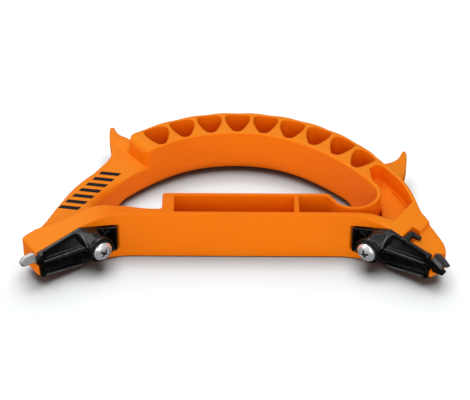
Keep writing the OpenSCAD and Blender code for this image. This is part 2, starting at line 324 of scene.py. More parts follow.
def wing_place(side):
    """Wing coordinates, columns u, z, w, to the row frame."""
    ax = np.array([side * CW, -SW, 0.0])
    up = np.array([0.0, 0.0, 1.0])
    out = np.array([-side * SW, -CW, 0.0])
    base = np.array([side * BEND_X, -BEAM_MID, 0.0])
    m = np.stack([ax, up, out])

    def world(p):
        return (base + p @ m) * 0.001

    world.inverse = lambda q: (q * 1000 - base) @ m.T
    return world, lambda n: n @ m


def world_inverse(world):
    return world.inverse


def grid(lo, hi, h):
    return [np.arange(a, b + h, h, dtype=F32) for a, b in zip(lo, hi)]


# ---------------------------------------------------------------- the orange moulding
right_rear = [(98.7, -17.4), (98.9, -15.8), (98.9, -13.8), (98.4, -11.3), (97.4, -8.8), (96.1, -6.4), (94.9, -4.0),
              (93.5, -1.4), (92.3, 0.8), (91.0, 2.9), (89.8, 5.0), (88.9, 6.4), (88.1, 9), (87.4, 11.6), (86.7, 14.2), (86, 16.9), (85.1, 19.5), (84.1, 22.1),
              (82.7, 25), (80.9, 28.3), (77.4, 34.6), (73.5, 40.3)]
left_rear = [(94.1, -3.6), (93.5, -0.4), (92.2, 2.8), (90.6, 5.9), (89.3, 8.9), (88.2, 12), (86.9, 15.1), (85.6, 18.3),
             (84.2, 21.4), (82.9, 24.6), (81.5, 27.8), (79.8, 31), (78.1, 34.2), (75.9, 37.4), (73.6, 40.7), (70.6, 44.2)]
bend_t = BEND_R * math.tan(WING_A / 2)
bend_arc = arc((BEND_X - bend_t, -BEND_R), BEND_R, 90, 90 - 35.3, 14)
right_side = bend_arc + [wing_pt(WING_LEN + 0.8, 0)] + chaikin(
    [wing_pt(WING_LEN + 1.4, 1.4), wing_pt(WING_LEN + 2.3, 3.9), wing_pt(WING_LEN + 3.0, 7)] + right_rear, 2)
left_side = bend_arc + [wing_pt(WING_LEN + 0.75, 0), wing_pt(WING_LEN + 0.95, 12.8), wing_pt(WING_LEN + 0.3, 13.9),
                        wing_pt(WING_LEN - 1, 14.3)] + chaikin([wing_pt(30.5, 14.4)] + left_rear, 2)
# the bow is a little wider towards the right strut
outer_bow = [(BOW_C[0] + r * math.sin(t), BOW_C[1] + r * math.cos(t)) for r, t in (
    (82.35 + 0.012 * d, math.radians(d)) for d in np.linspace(55.0, -55.0, 89))]
blank = right_side + outer_bow + flip(left_side)

hand = (arc(LOOP_C, LOOP_R, FLARE_A, -135, 40)
        + [(45.8, 15.8), (44.6, 16.7), (43, 17), (-33.6, 17), (-34.6, 16), (-34.6, 5.8), (-35.6, 4.8), (-40, 4.8),
           (-45, 5.4), (-52, 6.7)]
        + arc((-LOOP_C[0], LOOP_C[1]), LOOP_R, -90, -180 - FLARE_A, 40)
        + arc((-FLARE_C[0], FLARE_C[1]), FLARE_R, 180 - FLARE_A, 120, 24)
        + arc(BOW_C, R_IN, 120, 60, 50)
        + arc(FLARE_C, FLARE_R, 60, FLARE_A, 24))

low_top = [(-40, 44.2), (-50, 20), (-61, 7.5), (-66, 6.8)] + [(-wing_pt(u, w)[0], wing_pt(u, w)[1]) for u, w in (
    (3.5, 9.1), (8.2, 9.8), (13, 10.2), (19, 11.6), (25, 13.2), (30, 14.8), (38.5, 15.4))] + [
    (-115, -14), (-115, 71.5), (-62.5, 71.5), (-54.7, 62.1), (-44.3, 49.4)]

pocket = [(75.2, -1.3), (84.6, 12.6), (84.3, 14.6)] + chaikin([(83.7, 17.2), (82.3, 21.1), (80.6, 25.0), (78.2, 29.2),
    (75.0, 34.4), (72.4, 38.2), (70.6, 39.9), (68.6, 39.6), (65.4, 36.6)], 2) + arc(LOOP_C, LOOP_R + 2, 42, -4, 10) + [
    (70.2, -0.3)]
groove = [(75.4, 31.5), (77.6, 27.2), (79.6, 22.8), (82, 17.6), (83.2, 16), (82, 19.8), (79.8, 24.6), (77.4, 29.2)]
tray1 = [(-28.7, 2.2), (28.2, 2.2), (28.2, 14.6), (-28.7, 14.6)]
tray2 = [(30.7, 2.2), (58.7, 2.1), (66, 1.2), (70.7, -0.1), (70.7, 16.9)] + arc(LOOP_C, LOOP_R + 2, -4, -135, 24) + [
    (44.6, 13.6), (43.4, 14.6), (30.7, 14.6)]
left_horn = chaikin([(68.6, 45.6), (66.2, 50.6), (64.2, 54.5), (62.8, 58.5), (62.4, 62), (62.9, 67), (63.8, 72),
                     (64.4, 77), (64.3, 82.2)], 1) + chaikin([(62.1, 82.6), (60.9, 79), (58.6, 75.7), (54.6, 73.6),
                                                              (51.4, 70), (48, 64)], 1) + [(54, 50)]
right_horn = chaikin([(78.4, 29), (80.4, 34), (82, 39.6), (83.6, 45), (84.6, 50), (85.4, 55.5), (85.7, 60.8),
                      (85.3, 63.2)], 1) + chaikin([(83.6, 63.2), (82.7, 60.6), (81.2, 57.4), (79.3, 55.1), (77.2, 53.8),
                                                   (74.6, 52.8), (70.5, 51.2), (65.5, 49)], 1) + [(60, 46), (70, 36)]
cell = [(-0.1, -1.1), (0.7, -2.2), (2.3, -3.2), (5.5, -4.8), (8.5, -5.9), (11, -6.2), (13, -6), (14.2, -5),
        (14.7, -3.4), (14.7, 3.4), (14.2, 5), (13, 6), (11, 6.2), (8.5, 5.9), (5.5, 4.8), (2.3, 3.2), (0.7, 2.2),
        (-0.1, 1.1)]
recess = [(-5.4, 5.8), (0, 4.3), (9, 2.8), (13.4, 2.7), (13.6, 24.8), (10, 22.9), (5, 21.2), (0, 20.3), (-5.4, 19.7)]


def cell_field(x, y):
    best = None
    rad = np.hypot(x - BOW_C[0], y - BOW_C[1]) - (R_OUT - 0.9 + 0.012 * np.degrees(np.arctan2(x, y - BOW_C[1])))
    for k in range(9):
        t = -33.55 + 11.42 * k
        r = 65.6 if t < 25 else 65.6 + (t - 25) * 0.09
        a = math.radians(t)
        cx, cy = BOW_C[0] + r * math.sin(a), BOW_C[1] + r * math.cos(a)
        b = math.radians(90 - 0.55 * t)
        lx = (x - cx) * math.cos(b) + (y - cy) * math.sin(b)
        ly = -(x - cx) * math.sin(b) + (y - cy) * math.cos(b)
        d = rmax(poly(lx, ly, cell), rad, 1.2)
        best = d if best is None else np.minimum(best, d)
    return best


def moulding():
    h = 0.45
    lo, hi = np.array([-101.5, -26.5, -1.6]), np.array([101.5, 86.5, 28.0])
    X, Y, Z = grid(lo, hi, h)
    x, y = X[:, None] + 0 * Y[None], Y[None] + 0 * X[:, None]
    s = np.where(x < 0, -1, 1).astype(F32)
    u = (s * x - BEND_X) * CW - y * SW
    w = -(s * x - BEND_X) * SW - y * CW
    d_blank, d_hand = poly(x, y, blank), poly(x, y, hand)
    d_low, d_cell = poly(x, y, low_top), cell_field(x, y)
    d_tray = np.minimum(poly(x, y, tray1), poly(x, y, tray2))
    d_pocket, d_groove = poly(x, y, pocket), poly(x, y, groove)
    d_horn = np.minimum(poly(x, y, flip(left_horn)), poly(x, y, right_horn))
    ang = np.degrees(np.abs(np.arctan2(x, y - BOW_C[1])))
    z_top = BODY_H - SLOPE_TOP * softpos(u - 0.3, 1.6)
    z_bot = SLOPE_BOT * softpos(u, 2.0)
    behind = ramp(y, 30, 42)
    r_top_out = 0.8 + 0.7 * behind * ramp(ang, 58, 50)
    # the rear rim dips a little behind every cell
    turn_at = (np.degrees(np.arctan2(x, y - BOW_C[1])) + 33.55) / 11.42
    dip = 0.4 * np.exp(-((turn_at - np.clip(np.round(turn_at), 0, 8)) / 0.3) ** 2)
    z_top = z_top - dip * ramp(np.hypot(x - BOW_C[0], y - BOW_C[1]), 79.4, 81.4)
    r_bot_out = 1.2 + 1.3 * behind
    r_palm = 1.2 + behind * (6.8 * ramp(ang, 72, 58) + 3.0 * ramp(ang, 56, 12))
    r_palm = np.where((y > 24) & (y <= 42), np.maximum(r_palm, 1.2 + 5.0 * ramp(y, 24, 42) * ramp(ang, 74, 60)), r_palm)
    r_low = 0.8 + 3.4 * ramp(-x, 50, 66) * ramp(d_hand, 9, 5) * ramp(y, 12, 20)
    r_low = np.maximum(r_low, 0.8 + 3.0 * ramp(y, 44, 52) * ramp(-x, 62, 57))
    low_draft = 0.02 + 0.08 * ramp(y, 42, 47) * ramp(-x, 66, 58)
    out = np.empty((len(X), len(Y), len(Z)), F32)
    z = Z[None, None]
    step = 40
    for i in range(0, len(X), step):
        k = slice(i, i + step)

        def e(a):
            return a[k][:, :, None]

        top, bot = z - e(z_top), e(z_bot) - z
        body = rmax(rmax(e(d_blank), top, e(r_top_out)), bot, e(r_bot_out))
        horns = rmax(e(d_horn), np.abs(z - 13.25) - 4.25, 1.1)
        body = rmin(body, horns, 2.2)
        inner = rmax(rmax(-e(d_hand), top, 1.3), bot, e(r_palm))
        body = np.maximum(body, inner)
        # low top of the left strut
        cut = rmax(e(d_low) - e(low_draft) * (z - STRUT_H), STRUT_H - z, 0.5)
        body = rmax(body, -cut, e(r_low))
        # core cells, compartments and the corner pocket
        cut = rmax(e(d_cell) + 0.035 * (BODY_H - z), 9.5 - z, 1.2)
        body = rmax(body, -cut, 0.45)
        cut = rmax(e(d_tray) + 0.012 * (BODY_H - z), 2.6 - z, 1.0)
        body = rmax(body, -cut, 0.45)
        cut = np.minimum(rmax(e(d_pocket), STRUT_H - z, 1.8), rmax(e(d_groove), STRUT_H - 0.7 - z, 0.3))
        body = rmax(body, -cut, 0.5)
        far = np.abs(X[k])
        if far.max() > 46:
            uu, ww = e(u), e(w)
            right = X[k].mean() > 0
            # seat for the arm, with a sloping inner end
            seat = rmax(poly(uu + 0 * z - 0.55 * np.clip(1.6 - ww, 0, 1.6), z + 0 * uu, recess), -0.05 - ww, 0.25)
            body = rmax(body, -seat, 0.45)
            # groove for the tip's shank
            zc, depth = (BOSS_Z, 3.85) if right else (BLADE_Z, 4.15)
            slot = np.maximum(np.maximum(np.abs(z - zc) - 2.7, -depth - ww), 26.5 - uu)
            body = rmax(body, -slot, 0.25)
            # hole for the insert
            bore = np.maximum(np.hypot(uu - BOSS_U, z - BOSS_Z) - 3.3, -6.2 - ww)
            body = np.maximum(body, -bore)
            if right:
                boss = np.maximum(np.hypot(uu - BOSS_U, z - BOSS_Z) - 4.5, np.abs(ww + 4.6) - 3.0)
                boss = np.maximum(boss, -bore)
                body = rmin(body, boss, 0.5)
                body = np.maximum(body, -bore)
                slot = rmax(np.maximum(np.abs(uu - 22.6) - 2.2, -9.6 - ww), 15.6 - z, 0.4)
                low = np.maximum(24.7 - uu, e(z_top) - 1.8 - z)
                body = rmax(body, -np.minimum(slot, low), 0.5)
                # seat for the fork's head in the wing's end
                seat = np.maximum(np.maximum(WING_LEN + 0.25 - uu, 8.1 - z), -3.85 - ww)
                body = rmax(body, -seat, 0.3)
        out[k] = body
    o = solid_mesh("bow_moulding", out, lo, h, plan_place(), 196000)
    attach(o, "frame")
    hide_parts("bow_frame")
    return o


# ---------------------------------------------------------------- the arms
plate = [(-4.0, 5.8), (0, 4.6), (9, 3.1), (13, 3.0), (35.9, 6.6), (36.6, 19.6), (13.9, 24.0), (10, 22.4), (5, 20.8), (0, 19.9),
         (-4.0, 19.5)]


def arm(side):
    h = 0.2
    right = side > 0
    lo, hi = np.array([-6.2, 2.0, -7.4]), np.array([38.4, 25.2, 10.2])
    U, Zs, W = grid(lo, hi, h)
    u, z, w = U[:, None, None], Zs[None, :, None], W[None, None]
    d_plate = poly(U[:, None] + 0 * Zs[None], Zs[None] + 0 * U[:, None], plate)[:, :, None]
    # front surface of the moulding, which the rim meets flush near the beam
    face = BEND_R - np.sqrt(BEND_R ** 2 - np.clip(13 - u, 0, 20) ** 2)
    back = 0.1 - w
    body = rmax(rmax(d_plate, w - 1.1, 0.25), back, 0.1)
    rim_w = 1.35 + face + 1.1 * ramp(11 - z, 0, 3) * ramp(u, 12, 16)
    rim = rmax(rmax(np.maximum(d_plate, -(d_plate + 1.25)), w - rim_w, 0.3), back, 0.1)
    body = rmin(body, rim, 0.4)
    # wedge from the boss to the tip: a sloping panel above a ridge
    hi_z = 15.6 - 0.055 * (u - 13)
    lo_z = 13.5 - 0.04 * (u - 12.5)
    rid_w = 4.9 - 0.155 * (u - 13)
    rim_z = 22.4 - 0.178 * (u - 13.6)
    t = np.clip((z - hi_z) / (rim_z - hi_z), 0, 1)
    front = rid_w - (rid_w - 1.5) * t
    wedge = rmax(rmax(w - front, lo_z - z, 0.35), np.maximum(np.maximum(8.5 - u, u - 36.3), back), 0.25)
    wedge = rmax(wedge, d_plate, 0.3)
    body = rmin(body, wedge, 0.45)
    # the plate is thin below the ridge
    hollow = np.maximum(np.maximum(d_plate + 1.35, z - lo_z - 0.4), np.maximum(13.2 - u, u - 34.2))
    body = rmax(body, -np.maximum(hollow, 0.45 - w), 0.12)
    # sunk triangular field in the panel, inside a raised border
    tri = poly(U[:, None] + 0 * Zs[None], Zs[None] + 0 * U[:, None], [(14.6, 16.7), (32.8, 16.2), (16.2, 21.6)])[:, :, None]
    body = rmax(body, -rmax(rmax(tri, 2.2 - z, 0.2), (front - 0.3) - w, 0.12), 0.2)
    # thin line groove along the ridge's front face
    line = np.hypot(z - (0.5 * (hi_z + lo_z) - 0.1), w - rid_w) - 0.32
    body = np.where((u > 14) & (u < 33.5), rmax(body, -line, 0.15), body)
    # boss with a collar
    rr = np.hypot(u - BOSS_U, z - BOSS_Z)
    boss = rmax(rmax(rr - (6.15 - 0.03 * w), w - 8.8, 0.3), back, 0.1)
    body = rmin(body, boss, 0.7)
    collar = rmax(rr - 6.5, np.abs(w - 7.8) - 1.0, 0.35)
    body = rmin(body, collar, 0.2)
    # ramp from the boss up to the plate's top corner
    ca, sa = math.cos(math.radians(60)), math.sin(math.radians(60))
    a = (u - BOSS_U) * ca + (z - BOSS_Z) * sa
    b = -(u - BOSS_U) * sa + (z - BOSS_Z) * ca
    rampf = rmax(np.abs(b) - 4.7, w - (8.3 - 0.68 * (a - 4.5)), 3.2)
    rampf = rmax(np.maximum(rampf, np.maximum(-a, back)), d_plate, 0.4)
    body = rmin(body, rampf, 0.8)
    # ribs from the boss into the inner corners
    for deg in (150, 210):
        ca, sa = math.cos(math.radians(deg)), math.sin(math.radians(deg))
        a = (u - BOSS_U) * ca + (z - BOSS_Z) * sa
        b = -(u - BOSS_U) * sa + (z - BOSS_Z) * ca
        ribf = rmax(np.abs(b) - 0.65, w - (2.2 + 0.55 * face), 0.25)
        ribf = np.maximum(np.maximum(ribf, np.maximum(-a, back)), d_plate)
        body = rmin(body, ribf, 0.3)
    # end flange, joined to the ridge
    flange = rmax(np.maximum(34.7 - u, d_plate), w - 2.9, 0.5)
    body = rmin(body, np.maximum(flange, back), 0.7)
    # key that presses on the steel tip
    zc, wf = (BOSS_Z, -1.1) if right else (BLADE_Z, -2.0)
    key = rmax(np.maximum(np.abs(z - zc) - 2.5, np.maximum(27 - u, u - 36.8)), np.maximum(wf + 0.05 - w, w - 1.0), 0.25)
    body = np.minimum(body, key)
    # clearance for the screw
    body = np.maximum(body, 2.6 - rr)
    if right:
        leg = rmax(np.abs(u - 22.6) - 1.3, np.maximum(20.4 - z, z - 23.0), 0.5)
        leg = rmax(leg, np.maximum(-6.2 - w, w - 1.6), 0.5)
        toe = rmax(np.maximum(21.3 - u, u - 27.5), np.maximum(20.4 - z, z - 22.3), 0.5)
        toe = rmax(toe, np.abs(w + 5.2) - 1.0, 0.5)
        body = rmin(body, rmin(leg, toe, 0.6), 0.5)
    name = "right_arm_moulding" if right else "left_arm_moulding"
    o = solid_mesh(name, body.astype(F32), lo, h, wing_place(side), 60000, mirrored=not right)

    def glint_lines(pu, pz, pw, along):
        """Painted highlight lines along the edges: both lines of the ridge, the panel's border and the lower rim."""
        ridge_w = 4.9 - 0.155 * (pu - 13)
        near = (pu > 13) & (pu < 34.6) & (np.abs(pw - ridge_w) < 0.42)
        top_line = near & (np.abs(pz - (15.55 - 0.055 * (pu - 13))) < 0.26)
        low_line = near & (np.abs(pz - (13.65 - 0.04 * (pu - 12.5))) < 0.26)
        rim_low = (pu > 14) & (pu < 34) & (pz < 10) & (np.abs(pz - (3.35 + 0.157 * (pu - 13))) < 0.32) & (pw > 1.9)
        ax, az, bx, bz = 13.3, 16.4, 14.3, 22.6
        t = np.clip(((pu - ax) * (bx - ax) + (pz - az) * (bz - az)) / ((bx - ax) ** 2 + (bz - az) ** 2), 0, 1)
        side_line = (np.hypot(pu - ax - t * (bx - ax), pz - az - t * (bz - az)) < 0.22) & (pw > 1.4) & (along > 0.4)
        return top_line | low_line | rim_low | side_line

    second_finish(o, wing_place(side), glint_lines)
    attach(o, "right_head" if right else "left_head")
    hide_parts("right_arm" if right else "left_arm")
    return o


# ---------------------------------------------------------------- tips, screws, washers
def blade():
    h = 0.12
    lo, hi = np.array([26.4, 11.4, -5.0]), np.array([45.2, 18.0, -1.2])
    U, Zs, W = grid(lo, hi, h)
    u, z, w = U[:, None, None], Zs[None, :, None], W[None, None]
    end = WING_LEN + 8.2
    outline = chaikin([(end - 3.2, BLADE_Z - 2.55), (end - 1.9, BLADE_Z - 2.5), (end - 0.5, BLADE_Z - 1.4),
                       (end, BLADE_Z - 0.1), (end - 0.35, BLADE_Z + 1.2), (end - 2.0, BLADE_Z + 2.8),
                       (end - 3.4, BLADE_Z + 2.95)], 2) + [(WING_LEN + 0.9, BLADE_Z + 2.95), (WING_LEN + 0.7, BLADE_Z + 2.55),
                       (27, BLADE_Z + 2.55), (27, BLADE_Z - 2.55)]
    d = poly(U[:, None] + 0 * Zs[None], Zs[None] + 0 * U[:, None], outline)[:, :, None]
    body = rmax(d, np.abs(w + 3.0) - 1.0, 0.12)
    # bevel round the front of the free end, broad below and at the end
    broad = 0.2 + 0.6 * ramp(BLADE_Z + 0.8 - z, -0.8, 1.0)
    bevel = (d + broad) * 0.62 + (w + 2.0) * 0.78
    body = rmax(body, bevel - 3.0 * ramp(WING_LEN + 1.4 - u, 0, 0.8), 0.08)
    o = solid_mesh("ground_blade", body.astype(F32), lo, h, wing_place(-1), 40000, mirrored=True)
    # painted shade: the lower bevel of the free end takes the dark second steel, standing in for its dark reflection of
    # the shadowed floor
    second_finish(o, wing_place(-1), lambda pu, pz, pw, along: (along < 0.90) & (pu > WING_LEN) & (
        pz < BLADE_Z - 0.3))
    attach(o, "left_head")
    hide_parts("left_blade")
    return o


def fork():
    h = 0.12
    lo, hi = np.array([26.4, 7.6, -4.4]), np.array([45.6, 19.6, -0.4])
    U, Zs, W = grid(lo, hi, h)
    u, z, w = U[:, None, None], Zs[None, :, None], W[None, None]
    end = WING_LEN + 8.5
    shape = [(27, 10.65), (WING_LEN + 0.35, 10.65), (WING_LEN + 0.5, 9.0), (37.6, 8.2), (40.2, 8.15), (42.4, 8.9),
             (43.9, 11.5), (43.2, 12.5), (41.4, 13.75), (44.4, 14.1), (44.9, 14.6), (42.6, 16.9), (39.0, 19.0),
             (37.6, 18.6), (WING_LEN + 0.5, 17.2), (WING_LEN + 0.35, 15.75), (27, 15.75)]
    d = poly(U[:, None] + 0 * Zs[None], Zs[None] + 0 * U[:, None], shape)[:, :, None]
    body = rmax(d, np.abs(w + 2.4) - 1.3, 0.18)
    # valley from the shoulder down to the notch, which parts the prongs
    a0, a1 = np.array([36.4, 17.2]), np.array([41.6, 13.75])
    t = np.clip(((u - a0[0]) * (a1 - a0)[0] + (z - a0[1]) * (a1 - a0)[1]) / ((a1 - a0) ** 2).sum(), 0, 1)
    off = np.hypot(u - a0[0] - t * (a1 - a0)[0], z - a0[1] - t * (a1 - a0)[1])
    body = rmax(body, -(0.8 * off - 0.35 - (w + 2.3) * 0.6), 0.15)
    # the notch is ground on a slant and opens wider behind
    wedge = poly(u - 0.38 * (w + 1.1), z - 0.68 * (w + 1.1), [(41.3, 13.85), (46.8, 14.3), (46.8, 9.9), (44.0, 12.0)])
    body = rmax(body, -wedge, 0.1)
    # the upper prong's face tilts back to its top edge
    lean = (z - 15.0) * 0.35 + (u - 39) * 0.2 + (w + 1.25) * 0.9
    body = rmax(body, lean - 3.0 * ramp(14.6 - z + (41 - u) * 0.5, 0, 0.8), 0.12)
    # bevel on the lower prong's outer edge
    body = rmax(body, (-(z - 9.0) * 0.6 + (w + 1.5) * 0.8 - 0.35 - 2.0 * ramp(WING_LEN + 0.8 - u, 0, 0.8)), 0.1)
    o = solid_mesh("forked_tip", body.astype(F32), lo, h, wing_place(1), 40000)
    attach(o, "right_head")
    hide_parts("right_fork")
    return o


def screw(side):
    h = 0.1
    lo, hi = np.array([BOSS_U - 5.6, BOSS_Z - 5.6, -6.2]), np.array([BOSS_U + 5.6, BOSS_Z + 5.6, 13.3])
    U, Zs, W = grid(lo, hi, h)
    u, z, w = U[:, None, None] - BOSS_U, Zs[None, :, None] - BOSS_Z, W[None, None]
    rr = np.hypot(u, z)
    base = 9.5
    shank = rmax(rr - 2.5, np.maximum(-5.7 - w, w - base - 0.5), 0.3)
    # pan head: a short straight rim under a dome
    dome = np.sqrt(rr ** 2 + (w - (base + 2.5 - 7.4)) ** 2) - 7.4
    head = rmax(rmax(rr - 4.75, dome, 0.5), base - w, 0.2)
    body = np.minimum(shank, head)
    # cross recess with tapered wings
    deep = w - (base + 0.55)
    turn = math.radians(20 if side > 0 else 35)
    a, b = u * math.cos(turn) + z * math.sin(turn), -u * math.sin(turn) + z * math.cos(turn)
    for p, q in ((a, b), (b, a)):
        arm_ = np.maximum(np.abs(p) - (1.15 + 0.78 * deep), np.abs(q) - (0.38 + 0.12 * deep))
        body = rmax(body, -np.maximum(arm_, -deep), 0.12)
    core = rr - (0.75 + 0.25 * deep)
    body = rmax(body, -np.maximum(core, -deep - 0.3), 0.1)
    name = "right_pan_screw" if side > 0 else "left_pan_screw"
    o = solid_mesh(name, body.astype(F32), lo, h, wing_place(side), 36000, mirrored=side < 0)

    def sunk(pu, pz, pw, along):
        """Painted shade inside the cross recess: below the dome, within the wings' reach."""
        r = np.hypot(pu - BOSS_U, pz - BOSS_Z)
        dome_w = base + 2.5 - 7.4 + np.sqrt(np.maximum(7.4 ** 2 - r ** 2, 0))
        return (r < 3.3) & (pw > base + 0.25) & (dome_w - pw > 0.22)

    second_finish(o, wing_place(side), sunk)
    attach(o, "right_bolt" if side > 0 else "left_bolt")
    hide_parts("right_screw" if side > 0 else "left_screw")
    return o


def washer(side):
    h = 0.11
    lo, hi = np.array([BOSS_U - 6.2, BOSS_Z - 6.2, 8.3]), np.array([BOSS_U + 6.2, BOSS_Z + 6.2, 10.1])
    U, Zs, W = grid(lo, hi, h)
    u, z, w = U[:, None, None] - BOSS_U, Zs[None, :, None] - BOSS_Z, W[None, None]
    rr = np.hypot(u, z)
    body = rmax(rmax(rr - 5.5, 2.72 - rr, 0.1), np.abs(w - 9.14) - 0.31, 0.2)
    name = "right_seal_ring" if side > 0 else "left_seal_ring"
    o = solid_mesh(name, body.astype(F32), lo, h, wing_place(side), 16000, mirrored=side < 0)
    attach(o, "right_head" if side > 0 else "left_head")
    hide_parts("right_washer" if side > 0 else "left_washer")
    return o


# ---------------------------------------------------------------- materials
class Nodes:
    def __init__(self, name):
        self.m = bpy.data.materials.new(name)
        self.m.use_nodes = True
        self.t = self.m.node_tree
        self.n = self.t.nodes
        self.s = self.n["Principled BSDF"]
        self.co = self.n.new("ShaderNodeTexCoord").outputs["Object"]

    def new(self, kind, **values):
        n = self.n.new(kind)
        for k, v in values.items():
            if k in n.inputs:
                n.inputs[k].default_value = v
            else:
                setattr(n, k, v)
        return n

    def link(self, a, b):
        self.t.links.new(a, b)

    def noise(self, scale, detail=2.0, rough=0.5, stretch=None):
        n = self.new("ShaderNodeTexNoise", Scale=scale, Detail=detail, Roughness=rough)
        src = self.co
        if stretch:
            mp = self.new("ShaderNodeMapping")
            mp.inputs["Scale"].default_value = stretch[:3]
            if len(stretch) > 3:
                mp.inputs["Rotation"].default_value = (0, 0, stretch[3])
            self.link(self.co, mp.inputs["Vector"])
            src = mp.outputs[0]
        self.link(src, n.inputs["Vector"])
        return n.outputs["Fac"]

    def curve(self, fac, stops, interp="LINEAR"):
        r = self.new("ShaderNodeValToRGB")
        r.color_ramp.interpolation = interp
        el = r.color_ramp.elements
        while len(el) < len(stops):
            el.new(0.5)
        for e, (p, c) in zip(el, stops):
            e.position = p
            e.color = c if len(c) == 4 else (*c, 1)
        self.link(fac, r.inputs["Fac"])
        return r.outputs["Color"]

    def span(self, fac, a, b, lo=0.0, hi=1.0):
        r = self.new("ShaderNodeMapRange")
        r.inputs["From Min"].default_value = lo
        r.inputs["From Max"].default_value = hi
        r.inputs["To Min"].default_value = a
        r.inputs["To Max"].default_value = b
        self.link(fac, r.inputs["Value"])
        return r.outputs["Result"]

    def math(self, op, a, b=None, clamp=False):
        n = self.new("ShaderNodeMath")
        n.operation = op
        n.use_clamp = clamp
        for i, v in enumerate((a, b)):
            if v is None:
                continue
            if isinstance(v, (int, float)):
                n.inputs[i].default_value = v
            else:
                self.link(v, n.inputs[i])
        return n.outputs[0]

    def mix(self, fac, a, b, blend="MIX"):
        n = self.new("ShaderNodeMix")
        n.data_type = "RGBA"
        n.blend_type = blend
        for sock, v in ((n.inputs[0], fac), (n.inputs[6], a), (n.inputs[7], b)):
            if isinstance(v, (int, float)):
                sock.default_value = v
            elif isinstance(v, tuple):
                sock.default_value = v if len(v) == 4 else (*v, 1)
            else:
                self.link(v, sock)
        return n.outputs[2]

    def bump(self, layers):
        """layers: (height, strength, distance in metres), finest last."""
        last = None
        for height, strength, dist in layers:
            b = self.new("ShaderNodeBump")
            b.inputs["Strength"].default_value = strength
            b.inputs["Distance"].default_value = dist
            self.link(height, b.inputs["Height"])
            if last is not None:
                self.link(last, b.inputs["Normal"])
            last = b.outputs["Normal"]
        self.link(last, self.s.inputs["Normal"])

    def edge(self, lo, hi):
        """Convex edges, from pointiness: for handling wear and for painted edge highlights."""
        g = self.new("ShaderNodeNewGeometry")
        return self.span(g.outputs["Pointiness"], 0.0, 1.0, lo, hi)


def orange():
    k = Nodes("orange_moulded_plastic")
    broad = k.noise(28, 3, 0.55)
    fine = k.noise(260, 3, 0.6)
    grain = k.noise(2600, 2, 0.6)
    base = k.curve(broad, [(0.3, (0.89, 0.176, 0.0016)), (0.7, (0.925, 0.198, 0.0024))])
    base = k.mix(k.span(fine, 0.0, 0.10, 0.35, 0.75), base, (0.93, 0.222, 0.0045))
    # upward faces on the wings, the struts and the grip are painted paler and yellower: a painted highlight where the
    # light from above falls
    sep = k.new("ShaderNodeSeparateXYZ")
    k.link(k.co, sep.inputs[0])
    ox, oy, oz = sep.outputs
    facing = k.new("ShaderNodeSeparateXYZ")
    k.link(k.new("ShaderNodeNewGeometry").outputs["Normal"], facing.inputs[0])
    away = k.math("MAXIMUM", k.span(k.math("ABSOLUTE", ox), 0.0, 1.0, 0.058, 0.072), k.span(oy, 0.0, 1.0, 0.012, 0.03))
    painted_top_light = k.math("MULTIPLY", away, k.span(facing.outputs[2], 0.0, 1.0, 0.2, 0.9))
    base = k.mix(k.math("MULTIPLY", painted_top_light, 0.7), base, (0.96, 0.275, 0.014))
    # convex edges are a little paler and duller: handling wear, with the paler tone also a painted highlight along the
    # rounded edges
    wear_and_sheen = k.math("MULTIPLY", k.edge(0.515, 0.60), k.span(k.noise(90, 4, 0.65), 0.0, 1.0, 0.42, 0.62), True)
    base = k.mix(k.math("MULTIPLY", wear_and_sheen, 0.35), base, (0.93, 0.34, 0.07))
    # pad-printed hatch on the left strut: plain slanted bars
    cx, cy = -0.0709, 0.0222
    dx, dy = k.math("SUBTRACT", ox, cx), k.math("SUBTRACT", oy, cy)
    along = k.math("ADD", k.math("MULTIPLY", dx, HATCH_DIR[0]), k.math("MULTIPLY", dy, HATCH_DIR[1]))
    across = k.math("ADD", k.math("MULTIPLY", dx, -HATCH_DIR[1]), k.math("MULTIPLY", dy, HATCH_DIR[0]))
    slant = k.math("ADD", along, k.math("MULTIPLY", across, 0.45))
    wave = k.math("FRACT", k.math("MULTIPLY", k.math("ADD", slant, HATCH_HALF[0]), 1 / HATCH_PITCH))
    bars = k.math("LESS_THAN", wave, HATCH_DUTY)
    box = k.math("MULTIPLY", k.math("LESS_THAN", k.math("ABSOLUTE", slant), HATCH_HALF[0]),
                 k.math("LESS_THAN", k.math("ABSOLUTE", across), HATCH_HALF[1]))
    level = k.math("LESS_THAN", k.math("ABSOLUTE", k.math("SUBTRACT", oz, STRUT_H * 0.001)), 0.0004)
    ink = k.math("MULTIPLY", k.math("MULTIPLY", bars, box), level)
    base = k.mix(ink, base, (0.012, 0.011, 0.011))
    k.link(base, k.s.inputs["Base Color"])
    rough = k.math("ADD", k.span(fine, 0.36, 0.46, 0.3, 0.7), k.math("MULTIPLY", wear_and_sheen, 0.12))
    k.link(rough, k.s.inputs["Roughness"])
    k.s.inputs["Specular IOR Level"].default_value = 0.07
    k.s.inputs["IOR"].default_value = 1.49
    k.bump([(fine, 0.10, 0.00006), (grain, 0.35, 0.00002)])
    return k.m


# direction of the printed hatch along the strut, its half length along and across, metres
HATCH_DIR = (0.549, 0.836)
HATCH_PITCH, HATCH_DUTY = 0.0054, 0.52
HATCH_HALF = (0.5 * (6 + HATCH_DUTY) * HATCH_PITCH, 0.0045)


